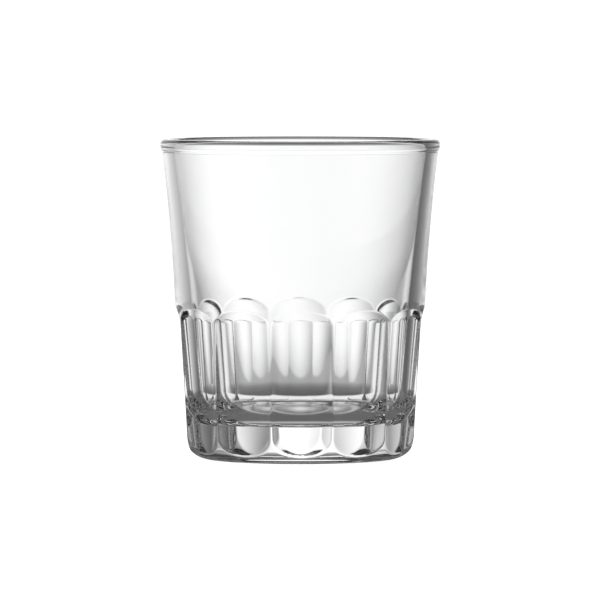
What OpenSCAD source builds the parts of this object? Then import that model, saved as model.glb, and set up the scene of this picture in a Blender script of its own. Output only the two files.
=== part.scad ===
// Rocks glass pressed in one piece from clear glass: a tapered tumbler with a banded rim, a plain flared
// upper wall, hollow flutes with arched tops around its lower half, a rounded heel and a thick solid base.
// Sizes are in millimetres. The origin is the middle of the foot on the table and +Z points up.

/* [Body] */
// Height from the table to the top of the rim
glass_h = 90.4; // [84:0.1:100]
// Diameter of the tapered body at the table, before the heel is rounded
foot_d = 65.4; // [64:0.1:67]
// Diameter of the body where its lower taper passes into the flared upper wall, just above the flutes
waist_d = 71.1; // [70:0.1:73]
// Diameter of the wall just under the rim band
neck_d = 78; // [76:0.2:82]
// How far the outside of the upper wall curves in from a straight taper
wall_flare = 0.33; // [0:0.01:0.4]
// Radius of the rounded heel between the flutes and the foot
heel_r = 7.5; // [5:0.1:8]

/* [Rim] */
// Width of the rim from its inside to its outside
rim_w = 3.55; // [3.3:0.05:3.8]
// Radius of the rim's two rounded edges
edge_r = 1.35; // [1:0.05:1.5]
// How far the band along the rim stands out from the wall under it
band_out = 0.55; // [0.3:0.05:0.8]
// Radius of the rounding by which the band runs back into the wall
under_r = 1.6; // [1.4:0.1:1.8]

/* [Inside] */
// Thickness of the solid glass under the middle of the drink
base_t = 9.9; // [8:0.1:14]
// Diameter of the inside wall where it would meet the floor without its rounding
floor_d = 55.2; // [50:0.2:57]
// Radius of the rounding between the inside wall and the floor
floor_r = 10.5; // [7:0.1:12]
// Radius of the shallow bowl that the floor forms
bowl_r = 400; // [250:10:800]
// How far the inside wall curves in from a straight taper at its middle
wall_sag = 0.5; // [0.1:0.05:0.6]

/* [Flutes] */
// Number of flutes around the glass
flute_n = 12; // [8:1:12]
// Height of the arched flute tops above the table
flute_top = 43.1; // [36:0.1:48]
// Depth of a flute's middle below the body at the flute tops
flute_top_depth = 1.4; // [1.3:0.05:1.6]
// Depth of a flute's middle below the body at the table
flute_low_depth = 2; // [1.8:0.05:2.1]
// Radius of a flute's hollow at the flute tops
hollow_top_r = 104; // [90:2:130]
// Radius of a flute's hollow at the table
hollow_low_r = 28; // [26:1:40]
// Radius of the curve by which a flute runs out at its arched top
runout_r = 5; // [3:0.1:6]

/* [Underside] */
// Diameter of the shallow hollow under the base
dish_d = 46; // [36:0.5:47]
// Depth of that hollow at its middle
dish_depth = 2.3; // [1:0.1:3]

/* [Hidden] */
$fn = 144;
glass_colour = [0.86, 0.92, 0.93, 0.45];
flare_steps = 6;
bowl_steps = 6;
sag_steps = 8;
first_flute = -90;
// Straight lines end this far inside the round corners that they run into
nip = 0.01;
waist_gap = 3.8;
band_drop = 2.2;
strip_half = 40;

foot_r = foot_d / 2;
waist_r = waist_d / 2;
neck_r = neck_d / 2;

// Lower body: a straight taper from the foot to the waist
waist_z = flute_top + waist_gap;
body_lean = atan((waist_r - foot_r) / waist_z);
body_top_r = foot_r + flute_top * tan(body_lean);
heel_x = foot_r - heel_r * (1 - sin(body_lean)) / cos(body_lean);
heel_side = [heel_x, heel_r] + (heel_r - nip) * [cos(body_lean), -sin(body_lean)];

// Rim: two rounded edges, and a band outside that stands proud of the neck and is rounded below
rim_r = neck_r + band_out;
outer_edge = [rim_r - edge_r, glass_h - edge_r];
inner_edge = [rim_r - rim_w + edge_r, glass_h - edge_r];
under = [rim_r - under_r, glass_h - band_drop];
neck_z = under[1] - under_r;

// Upper wall: a shallow curve from the waist to the neck
function flare_point(t) = [
    waist_r + (neck_r - waist_r) * t - 4 * wall_flare * t * (1 - t),
    waist_z + (neck_z - waist_z) * t
];

// Inside wall: a shallow curve along the line from the floor's edge that touches the rim's inner edge
wall_run = inner_edge - [floor_d / 2, base_t];
wall_angle = atan2(wall_run[1], wall_run[0]) + asin(edge_r / norm(wall_run));
wall_way = [cos(wall_angle), sin(wall_angle)];
wall_in = [-sin(wall_angle), cos(wall_angle)];
wall_end = inner_edge + (edge_r - nip) * wall_in;

// Floor: a shallow bowl, and a rounding that touches both the bowl and the inside wall
bowl_mid = [0, base_t + bowl_r];
bowl_off = [floor_d / 2, base_t] + floor_r * wall_in - bowl_mid;
bowl_run = bowl_off * wall_way;
bowl_gap = bowl_r - floor_r;
corner_run = -bowl_run - sqrt(bowl_run * bowl_run - bowl_off * bowl_off + bowl_gap * bowl_gap);
corner_off = bowl_off + corner_run * wall_way;
corner = bowl_mid + corner_off;
floor_side = corner - (floor_r - nip) * wall_in;
floor_end = corner + (floor_r - nip) / bowl_gap * corner_off;
function wall_point(t) = floor_side + (wall_end - floor_side) * t - [4 * wall_sag * t * (1 - t), 0];
function floor_point(t) = [
    floor_end[0] * t,
    bowl_mid[1] - sqrt(bowl_r * bowl_r - floor_end[0] * floor_end[0] * t * t)
];

// Flutes: each is hollowed by a cone whose lowest line runs up the flute's middle
middle_top = body_top_r - flute_top_depth;
middle_low = foot_r - flute_low_depth;
flute_lean = atan((middle_top - middle_low) / flute_top);
flute_len = flute_top / cos(flute_lean);
cone_half = atan((hollow_top_r - hollow_low_r) / flute_len);
apex_len = hollow_low_r / tan(cone_half);
apex = [middle_low - apex_len * sin(flute_lean), -apex_len * cos(flute_lean)];
runout_rise = sqrt(2 * runout_r * flute_top_depth - flute_top_depth * flute_top_depth);
cone_len = apex_len + flute_len - runout_rise;
cone_out = [cos(cone_half), -sin(cone_half)];
runout_mid = cone_len * [sin(cone_half), cos(cone_half)] - runout_r * cone_out;
cone_end = runout_mid + (runout_r - nip) * cone_out;

// Underside: a shallow bowl cut by a large sphere
dish_ball_r = (dish_d * dish_d / 4 + dish_depth * dish_depth) / (2 * dish_depth);

// Half section of the outside, from the foot to the rim's rounded edges
module outside_section() {
    polygon(concat(
        [[0, 0], [heel_x, 0], [heel_x, heel_r], heel_side],
        [for (i = [0:flare_steps]) flare_point(i / flare_steps)],
        [[neck_r, outer_edge[1]], [0, outer_edge[1]]]
    ));
    translate([heel_x, heel_r]) circle(r = heel_r);
}

// Half section of the space for the drink, open at the top
module drink_section() {
    polygon(concat(
        [for (i = [0:bowl_steps - 1]) floor_point(i / bowl_steps)],
        [floor_end, corner],
        [for (i = [0:sag_steps]) wall_point(i / sag_steps)],
        [inner_edge, [inner_edge[0], glass_h + 1], [0, glass_h + 1]]
    ));
    intersection() {
        translate(corner) circle(r = floor_r);
        translate([0, base_t - 1]) square([floor_d, floor_r + 2]);
    }
}

// Section of the rim and its band
module rim_section() {
    polygon([
        inner_edge, [inner_edge[0], under[1]], under, [rim_r - nip, under[1]], [rim_r - nip, outer_edge[1]],
        outer_edge, [outer_edge[0], glass_h - nip], [inner_edge[0], glass_h - nip]
    ]);
    translate(inner_edge) circle(r = edge_r);
    translate(outer_edge) circle(r = edge_r);
    translate(under) circle(r = under_r);
}

// Solid of revolution before the flutes are hollowed out of it
module blank() {
    rotate_extrude() {
        difference() {
            outside_section();
            drink_section();
            translate([0, dish_depth - dish_ball_r]) circle(r = dish_ball_r, $fn = 256);
        }
        rim_section();
    }
}

// What one flute takes away: a strip of a wide cone with a rounded upper end, lying along the flute
module flute() {
    translate([apex[0], 0, apex[1]])
        rotate([0, flute_lean + cone_half, 0])
            rotate_extrude(angle = 2 * strip_half, start = 180 - strip_half) {
                polygon([[0, 0], cone_end, runout_mid, [0, runout_mid[1]]]);
                translate(runout_mid) circle(r = runout_r);
            }
}

// The glass with the flutes of the first rounds hollowed out, every third flute in one round
module fluted(round) {
    difference() {
        if (round == 0) rotate([0, 0, first_flute + 180 / flute_n]) blank();
        else fluted(round - 1);
        for (i = [round:3:flute_n - 1]) rotate([0, 0, first_flute + i * 360 / flute_n]) flute();
    }
}

// The whole glass, with the middle of one flute facing -Y
module tumbler() {
    color(glass_colour) fluted(2);
}

tumbler();
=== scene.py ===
import math

import bpy
import numpy as np
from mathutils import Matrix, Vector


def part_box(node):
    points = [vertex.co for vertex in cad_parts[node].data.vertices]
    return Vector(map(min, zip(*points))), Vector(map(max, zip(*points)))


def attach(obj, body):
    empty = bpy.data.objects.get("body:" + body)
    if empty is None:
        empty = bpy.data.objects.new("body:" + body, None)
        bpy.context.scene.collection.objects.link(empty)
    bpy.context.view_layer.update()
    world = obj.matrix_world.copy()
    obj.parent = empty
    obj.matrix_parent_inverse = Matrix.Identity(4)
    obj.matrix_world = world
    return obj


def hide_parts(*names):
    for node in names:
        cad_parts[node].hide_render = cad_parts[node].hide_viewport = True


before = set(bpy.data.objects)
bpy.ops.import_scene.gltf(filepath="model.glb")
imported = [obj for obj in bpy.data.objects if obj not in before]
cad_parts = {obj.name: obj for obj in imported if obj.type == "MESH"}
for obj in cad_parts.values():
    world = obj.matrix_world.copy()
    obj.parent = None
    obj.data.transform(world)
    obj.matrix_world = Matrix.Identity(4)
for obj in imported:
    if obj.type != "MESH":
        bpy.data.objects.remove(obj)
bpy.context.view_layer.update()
scene = bpy.context.scene
scene.view_settings.view_transform = "Standard"

# Tumbler, its shape
# One piece of pressed soda-lime glass: a plain flared cup with a band along its rim, standing on a
# thick foot, with twelve hollow flutes round its lower half. It comes out of a steel mould and is
# fire-polished, so every edge is soft. All sizes of the shape are in millimetres.
MM = 0.001
box_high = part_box("tumbler")[1]
glass_h = box_high.z / MM
rim_r = box_high.x / MM
foot_r = 32.68
waist_r = 35.55
waist_z = 46.9
neck_r = 39.0
wall_flare = 0.33
heel_r = 7.5
rim_w = 3.55
edge_r = 1.35
under_r = 1.6
band_drop = 2.2
base_t = 9.9
floor_edge_r = 27.6
floor_r = 10.5
bowl_r = 400.0
wall_sag = 0.5
flute_count = 12
flute_top = 43.1
flute_top_depth = 1.4
flute_low_depth = 2.0
hollow_top_r = 104.0
hollow_low_r = 28.0
runout_r = 5.0
dish_edge_r = 23.0
dish_depth = 2.3
polish = 0.18
arch_below = 4.5
arch_above = 0.7

edge_z = glass_h - edge_r
rim_in = rim_r - rim_w + edge_r
under_x = rim_r - under_r
under_z = glass_h - band_drop
under_start = -math.acos((neck_r - under_x) / under_r)
neck_z = under_z - under_r
body_lean = math.atan((waist_r - foot_r) / waist_z)
heel_x = foot_r - heel_r * (1 - math.sin(body_lean)) / math.cos(body_lean)
dish_ball_r = (dish_edge_r**2 + dish_depth**2) / (2 * dish_depth)


def body_radius(z):
    """Radius of the outside before it is fluted: a straight taper up to the waist, then a parabola
    that hangs a little inside the straight line from the waist to the neck under the band."""
    up = np.clip((z - waist_z) / (neck_z - waist_z), 0, 1)
    flared = waist_r + (neck_r - waist_r) * up - 4 * wall_flare * up * (1 - up)
    return np.where(z < waist_z, foot_r + z * math.tan(body_lean), flared)


middle_low = foot_r - flute_low_depth
middle_top = foot_r + flute_top * math.tan(body_lean) - flute_top_depth
flute_lean = math.atan((middle_top - middle_low) / flute_top)
flute_len = flute_top / math.cos(flute_lean)
cone_half = math.atan((hollow_top_r - hollow_low_r) / flute_len)
apex_len = hollow_low_r / math.tan(cone_half)
apex_x = middle_low - apex_len * math.sin(flute_lean)
apex_z = -apex_len * math.cos(flute_lean)
runout_rise = math.sqrt(2 * runout_r * flute_top_depth - flute_top_depth**2)
cone_len = apex_len + flute_len - runout_rise
runout_u = cone_len * math.sin(cone_half) - runout_r * math.cos(cone_half)
runout_v = cone_len * math.cos(cone_half) + runout_r * math.sin(cone_half)
search_from = 0.6 * foot_r
search_past = 4 * polish
halvings = 40
off_glass_r = 2 * foot_r


def flute_distance(r, turn, z):
    """Distance from the flute's surface, negative on the side that the flute takes away. The flute
    is part of a wide cone whose axis leans outwards, and its upper end turns into a ring of radius
    runout_r: v runs along the cone's axis and u square to it."""
    dx = r * np.cos(turn) - apex_x
    dy = r * np.sin(turn)
    dz = z - apex_z
    v = dx * math.sin(flute_lean + cone_half) + dz * math.cos(flute_lean + cone_half)
    u = np.sqrt(np.maximum(dx**2 + dy**2 + dz**2 - v**2, 0))
    cone = u * math.cos(cone_half) - v * math.sin(cone_half)
    ring = np.hypot(u - runout_u, v - runout_v) - runout_r
    return np.where(u * math.sin(cone_half) + v * math.cos(cone_half) < cone_len, cone, ring)


def flute_radius(turn, z):
    """Radius at which a line from the axis first meets the flute, found by halving a range of radii.
    Where the line misses the flute, it is a radius well outside the glass."""
    inner = np.full(np.broadcast(turn, z).shape, search_from)
    outer = np.broadcast_to(body_radius(z) + search_past, inner.shape).copy()
    missed = flute_distance(outer, turn, z) > 0
    for _ in range(halvings):
        middle = (inner + outer) / 2
        cut = flute_distance(middle, turn, z) <= 0
        outer = np.where(cut, middle, outer)
        inner = np.where(cut, inner, middle)
    return np.where(missed, off_glass_r, outer)


def soft_min(a, b, soft):
    """The smaller of a and b, with the corner between them rounded off over a width of soft."""
    share = np.clip(0.5 + 0.5 * (b - a) / soft, 0, 1)
    return b + (a - b) * share - soft * share * (1 - share)


def arc(middle_r, middle_z, radius, start, end, steps):
    """Points of a round corner in the half section, as columns of radius and height."""
    angle = np.linspace(start, end, steps)
    return np.stack([middle_r + radius * np.cos(angle), middle_z + radius * np.sin(angle)], 1)


def between(low, high, steps):
    """Steps from low to high, without the ends themselves, that lie close together at both ends."""
    return low + (high - low) * (1 - np.cos(np.linspace(0, math.pi, steps + 2)[1:-1])) / 2


def hanging(start, end, sag, steps):
    """Points between two corners of the half section, without the corners themselves, on a parabola
    that comes nearer to the axis than the straight line, by sag in the middle."""
    share = between(0, 1, steps)[:, None]
    return start * (1 - share) + end * share - 4 * sag * share * (1 - share) * np.array([1, 0])


# The half section runs from the middle of the underside, out over the heel, up the outside, over
# the rim and down the inside to the middle of the floor. Each stretch has its number of points.
dish_points = 12
short_points = 4
heel_points = 26
flute_points = 24
arch_points = 44
flare_points = 22
under_points = 10
edge_points = 16
wall_points = 26
corner_points = 26
floor_points = 8
dish_span = math.asin(dish_edge_r / dish_ball_r)
dish = arc(0, dish_depth - dish_ball_r, dish_ball_r, math.pi / 2, math.pi / 2 - dish_span, dish_points)[1:]
foot = hanging(dish[-1], np.array([heel_x, 0]), 0, short_points)
heel = arc(heel_x, heel_r, heel_r, -math.pi / 2, -body_lean, heel_points)
side_z = np.concatenate([
    between(heel[-1, 1], flute_top - arch_below, flute_points),
    np.linspace(flute_top - arch_below, flute_top + arch_above, arch_points),
    between(flute_top + arch_above, neck_z, flare_points),
])
side = np.stack([body_radius(side_z), side_z], 1)
wall_run = math.hypot(rim_in - floor_edge_r, edge_z - base_t)
wall_angle = math.atan2(edge_z - base_t, rim_in - floor_edge_r) + math.asin(edge_r / wall_run)
wall_bend = 4 * wall_sag / wall_run
under = arc(under_x, under_z, under_r, under_start, 0, under_points)
outer_edge = arc(rim_r - edge_r, edge_z, edge_r, 0, math.pi / 2, edge_points)
inner_edge = arc(rim_in, edge_z, edge_r, math.pi / 2, math.pi / 2 + wall_angle - wall_bend, edge_points)
band = hanging(under[-1], outer_edge[0], 0, short_points)
top = hanging(outer_edge[-1], inner_edge[0], 0, short_points)
rim = np.concatenate([under, band, outer_edge, top, inner_edge])
wall_way = np.array([math.cos(wall_angle), math.sin(wall_angle)])
wall_in = np.array([-math.sin(wall_angle), math.cos(wall_angle)])
bowl_off = np.array([floor_edge_r, -bowl_r]) + floor_r * wall_in
bowl_run = bowl_off @ wall_way
corner_run = -bowl_run - math.sqrt(bowl_run**2 - bowl_off @ bowl_off + (bowl_r - floor_r) ** 2)
corner_x, corner_drop = bowl_off + corner_run * wall_way
corner_z = base_t + bowl_r + corner_drop
floor_start = math.atan2(corner_drop, corner_x)
corner = arc(corner_x, corner_z, floor_r, wall_angle + wall_bend - math.pi / 2, floor_start, corner_points)
floor = arc(0, base_t + bowl_r, bowl_r, floor_start, -math.pi / 2, floor_points)[1:-1]
wall = hanging(rim[-1], corner[0], wall_sag, wall_points)
outside = np.concatenate([heel, side])
section = np.concatenate([dish, foot, outside, rim, wall, corner, floor])
fluted = np.zeros(len(section), bool)
fluted[len(dish) + len(foot):][:len(outside)] = True

# Columns lie closer together towards the ridges between the flutes than in their middles.
half_flute = math.pi / flute_count
steps_per_flute = 32
crowding = 0.7
step = np.linspace(-1, 1, steps_per_flute, endpoint=False)
turn_in_flute = half_flute * ((1 - crowding) * step + crowding * np.sin(step * math.pi / 2))
flute_middles = 2 * half_flute * np.arange(flute_count) - math.pi / 2
turns = (flute_middles[:, None] + turn_in_flute).ravel()
turn_off_middle = np.tile(turn_in_flute, flute_count)


def tumbler_points():
    """The half section carried round the axis. On the outside, each radius is the smaller of the
    body's and the flute's at that height and turn."""
    r = np.repeat(section[:, :1], len(turns), 1)
    z = np.repeat(section[:, 1:], len(turns), 1)
    cut = flute_radius(turn_off_middle[None, :], z[fluted])
    r[fluted] = soft_min(r[fluted], cut, polish)
    return np.stack([r * np.cos(turns), r * np.sin(turns), z], 2)


def turned_mesh(name, points, first_pole, last_pole):
    """A closed mesh from rings of points: four-sided faces between neighbouring rings, and a fan of
    triangles from the first and the last ring to a point on the axis."""
    rings, columns = points.shape[:2]
    corners = np.concatenate([points.reshape(-1, 3), [first_pole, last_pole]]) * MM
    ring = np.arange(rings - 1)[:, None] * columns
    here = np.arange(columns)
    there = (here + 1) % columns
    quads = np.stack([ring + here, ring + there, ring + columns + there, ring + columns + here], 2)
    first = len(corners) - 2
    last_ring = (rings - 1) * columns
    fans = [
        np.stack([np.full(columns, first), there, here], 1),
        np.stack([np.full(columns, first + 1), last_ring + here, last_ring + there], 1),
    ]
    mesh = bpy.data.meshes.new(name)
    mesh.from_pydata(corners, [], quads.reshape(-1, 4).tolist() + np.concatenate(fans).tolist())
    mesh.polygons.foreach_set("use_smooth", np.ones(len(mesh.polygons), bool))
    mesh.validate()
    return mesh


glass_mesh = turned_mesh("tumbler_glass", tumbler_points(), (0, 0, dish_depth), (0, 0, base_t))
tumbler = bpy.data.objects.new("tumbler_glass", glass_mesh)
scene.collection.objects.link(tumbler)


# Tumbler, its glass
# Clear soda-lime glass. The mould leaves a faint ripple on its faces, and the ring that it stands
# on is dulled by fine wear.
class Shade:
    """A socket in a node tree. Operators on it add Math nodes, and node() adds any other node."""

    def __init__(self, tree, socket=None):
        self.tree = tree
        self.socket = socket

    def node(self, kind, settings=None, sockets=None, out=0):
        """Adds a node: first its settings, then the value or link of each socket that is named."""
        made = self.tree.nodes.new(kind)
        for name, value in (settings or {}).items():
            setattr(made, name, value)
        for name, value in (sockets or {}).items():
            if isinstance(value, Shade):
                self.tree.links.new(value.socket, made.inputs[name])
            else:
                made.inputs[name].default_value = value
        return Shade(self.tree, made.outputs[out]) if len(made.outputs) else None

    def math(self, operation, *values):
        return self.node("ShaderNodeMath", {"operation": operation}, dict(enumerate(values)))

    def __add__(self, other):
        return self.math("ADD", self, other)

    def __radd__(self, other):
        return self.math("ADD", other, self)

    def __sub__(self, other):
        return self.math("SUBTRACT", self, other)

    def __rsub__(self, other):
        return self.math("SUBTRACT", other, self)

    def __mul__(self, other):
        return self.math("MULTIPLY", self, other)

    def __rmul__(self, other):
        return self.math("MULTIPLY", other, self)

    def part(self, axis):
        """One coordinate of a vector."""
        return self.node("ShaderNodeSeparateXYZ", sockets={"Vector": self}, out=axis)

    def ramp(self, low, high):
        """0 up to low, 1 from high on, and a smooth rise between them."""
        settings = {"interpolation_type": "SMOOTHSTEP"}
        sockets = {"Value": self, "From Min": low, "From Max": high}
        return self.node("ShaderNodeMapRange", settings, sockets)


def empty_tree(owner):
    """Clears the node tree of a material or a world."""
    owner.use_nodes = True
    owner.node_tree.nodes.clear()
    return Shade(owner.node_tree)


glass_ior = 1.5
clear = (0.995, 0.998, 0.997, 1)
ripple_size = 9 * MM
ripple_height = 0.012 * MM
skin_roughness = 0.03
worn_roughness = 0.12
worn_from = 0.05 * MM
worn_to = 0.5 * MM
scratch_size = 0.4 * MM

glass = bpy.data.materials.new("pressed_glass")
make = empty_tree(glass)
place = make.node("ShaderNodeTexCoord", out="Object")
height = place.part("Z")
ripple = make.node("ShaderNodeTexNoise", sockets={"Vector": place, "Scale": 1 / ripple_size, "Detail": 1})
faces = make.node("ShaderNodeBump", sockets={"Height": ripple, "Distance": ripple_height})
scratches = make.node("ShaderNodeTexNoise", sockets={"Vector": place, "Scale": 1 / scratch_size})
worn = (1 - height.ramp(worn_from, worn_to)) * scratches
principled = make.node("ShaderNodeBsdfPrincipled", sockets={
    "Base Color": clear,
    "Roughness": skin_roughness + worn * worn_roughness,
    "IOR": glass_ior,
    "Transmission Weight": 1,
    "Normal": faces,
})
make.node("ShaderNodeOutputMaterial", sockets={"Surface": principled})
glass_mesh.materials.append(glass)
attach(tumbler, "root")
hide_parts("tumbler")

# Camera
# The photograph's: a long lens two metres off, a little above the rim and a degree to the left.
frame_px = 600
lens_px = 7077
sensor = 36
camera_off = 2.0
camera_height = 0.1296
camera_turn = math.radians(-0.9)
horizon_px = -0.02
axis_px = 300.1
camera = bpy.data.objects.new("camera", bpy.data.cameras.new("camera"))
camera.data.sensor_width = sensor
camera.data.lens = sensor * lens_px / frame_px
camera.data.shift_x = (frame_px / 2 - axis_px) / frame_px
camera.location = (camera_off * math.sin(camera_turn), -camera_off * math.cos(camera_turn), camera_height)
camera_tilt = math.atan((frame_px / 2 - horizon_px) / lens_px)
camera.rotation_euler = (math.pi / 2 - camera_tilt, 0, camera_turn)
scene.collection.objects.link(camera)
scene.camera = camera

# Studio
# The world stands for sheets of white paper in a dark room, brightest straight behind the glass and
# weaker at the other sides, and for a soft lamp high up behind. The camera itself sees plain white all
# round, and light that comes straight through the glass finds white at the other sides too.
room_level = 0.02
papers = [(0, 0.5, 28), (-20, 0.65, 62), (20, 0.2, 60), (-115, 0.45, 50), (100, 0.45, 50)]
paper_low = math.sin(math.radians(22))
paper_high = math.sin(math.radians(32))
white_from = math.radians(45)
white_to = math.radians(85)
lamp_light = 0.6
lamp_middle = math.radians(62)
lamp_end = math.radians(24)


def studio_level(make, x, y):
    """Brightness of the room in the direction of x and y: each paper fades away from its middle."""
    azimuth = make.math("ARCTAN2", x, y)
    level = room_level
    for middle, bright, end in papers:
        off = make.math("ARCCOSINE", make.math("COSINE", azimuth - math.radians(middle)))
        level = level + bright * (1 - off.ramp(0, math.radians(end)))
    return level


def straight_through(make):
    """1 for light that comes straight through the glass, and 0 for light that is thrown about in it."""
    return 1 - make.node("ShaderNodeLightPath", out="Glossy Depth").ramp(0, 1)


world = bpy.data.worlds.new("studio")
scene.world = world
make = empty_tree(world)
look = make.node("ShaderNodeTexCoord", out="Generated")
look_x, look_y, look_z = [look.part(axis) for axis in "XYZ"]
level = studio_level(make, look_x, look_y) * (1 - look_z.ramp(paper_low, paper_high))
lamp_way = math.cos(lamp_middle) * look_y + math.sin(lamp_middle) * look_z
level = level + lamp_light * lamp_way.ramp(math.cos(lamp_end), 1)
off_back = make.math("ABSOLUTE", make.math("ARCTAN2", look_x, look_y))
level = level + (1 - level) * (straight_through(make) * off_back.ramp(white_from, white_to))
ray = make.node("ShaderNodeLightPath", out="Is Camera Ray")
background = make.node("ShaderNodeBackground", sockets={"Color": make.math("MAXIMUM", level, ray)})
make.node("ShaderNodeOutputWorld", sockets={"Surface": background})

# Floor
# A pale round table top. The camera sees it plain white, too bright for the shadow of the glass to show.
# Light that is thrown about in the glass finds it glowing with painted shade and light: a painted grey
# shade near the foot, with a painted bright spot and ring under the base, and the painted brightness of
# the papers farther out. Straight through the glass it glows white too, but for a painted shadow round the
# foot, a painted dark strip of shade behind the glass and, past the strip's end, painted shade that
# brightens up to the level of the papers.
table_r = 0.8
# A painted grey shade near the foot.
painted_shade_grey = 0.13
table_white = 1
table_lit = 0.2
table_colour = (0.8, 0.8, 0.8, 1)
# Sizes and levels of the painted shade, painted shadows and painted light on the table.
shade_r = 0.03
shade_end = 0.12
contact_shadow_level = 0.05
contact_from = 0.02
contact_to = 0.027
contact_end = 0.042
strip_start = 0.05
strip_end = 0.39
strip_half = 0.012
strip_soft = 0.02
strip_fade = 0.06
strip_spread = 0.4
strip_widens = 0.04
strip_shade_dark = 0.12
strip_shade_pale = 0.45
sweep_shade_dark = 0.3
sweep_from = 0.2
sweep_end = 0.58
painted_spot_level = 0.65
spot_r = 0.011
painted_ring_level = 0.35
ring_r = 0.017
ring_w = 0.004
table_corners = 96
table_turns = np.linspace(0, 2 * math.pi, table_corners, endpoint=False)
table_edge = np.stack([np.cos(table_turns), np.sin(table_turns), np.zeros(table_corners)], 1) * table_r
table_mesh = bpy.data.meshes.new("table_top")
table_mesh.from_pydata(table_edge, [], [range(table_corners)])
table = bpy.data.objects.new("table_top", table_mesh)
scene.collection.objects.link(table)
table_paper = bpy.data.materials.new("table_paper")
make = empty_tree(table_paper)
spot = make.node("ShaderNodeTexCoord", out="Object")
spot_x, spot_y = [spot.part(axis) for axis in "XY"]
off_axis = make.node("ShaderNodeVectorMath", {"operation": "LENGTH"}, {0: spot}, out="Value")
# Painted light under the base: a bright spot and a ring where the base would gather light onto the table.
painted_caustic = painted_spot_level * (1 - off_axis.ramp(0, spot_r))
painted_caustic = painted_caustic + painted_ring_level * (1 - make.math("ABSOLUTE", off_axis - ring_r).ramp(0, ring_w))
# Painted shade for light thrown about in the glass: grey near the foot, rising farther out to the painted
# brightness of the papers in each direction.
near = painted_shade_grey + painted_caustic
far = studio_level(make, spot_x, spot_y)
thrown = near + (far - near) * off_axis.ramp(shade_r, shade_end)
# Painted shade past the strip's end: darker nearer the glass, brightening farther back up to the level of
# the papers.
beyond = make.math("GREATER_THAN", spot_y, strip_end)
shade_sweep = far * (sweep_shade_dark + (1 - sweep_shade_dark) * spot_y.ramp(sweep_from, sweep_end))
# Painted shade for light straight through the glass: a dark strip on the table behind the glass, widening
# and paling away from it.
painted_shade_strip = strip_shade_dark + (strip_shade_pale - strip_shade_dark) * spot_y.ramp(strip_start, strip_end)
beside = make.math("ABSOLUTE", spot_x) - strip_spread * make.math("MAXIMUM", spot_y - strip_widens, 0)
on_shade_strip = 1 - beside.ramp(strip_half, strip_half + strip_fade)
on_shade_strip = on_shade_strip * spot_y.ramp(strip_start, strip_start + strip_soft)
around_foot = table_white + (painted_shade_strip - table_white) * on_shade_strip
around_foot = around_foot + (shade_sweep - around_foot) * beyond
# Painted shadow: the table seen straight through the glass is dark right round the foot ring.
painted_contact_shadow = near + (contact_shadow_level - near) * off_axis.ramp(contact_from, contact_to)
straight = painted_contact_shadow + (around_foot - painted_contact_shadow) * off_axis.ramp(contact_to, contact_end)
shaded = make.node("ShaderNodeEmission", sockets={
    "Color": thrown + (straight - thrown) * straight_through(make),
})
ray = make.node("ShaderNodeLightPath", out="Is Camera Ray")
matt = make.node("ShaderNodeBsdfDiffuse", sockets={"Color": table_colour})
white = make.node("ShaderNodeEmission", sockets={"Strength": 1 - table_lit})
shown = make.node("ShaderNodeAddShader", sockets={0: matt, 1: white})
surface = make.node("ShaderNodeMixShader", sockets={"Fac": ray, 1: shaded, 2: shown})
make.node("ShaderNodeOutputMaterial", sockets={"Surface": surface})
table_mesh.materials.append(table_paper)

# Light is thrown about many times inside the thick base before it leaves the glass.
scene.cycles.max_bounces = 32
scene.cycles.transmission_bounces = 32
scene.cycles.glossy_bounces = 16
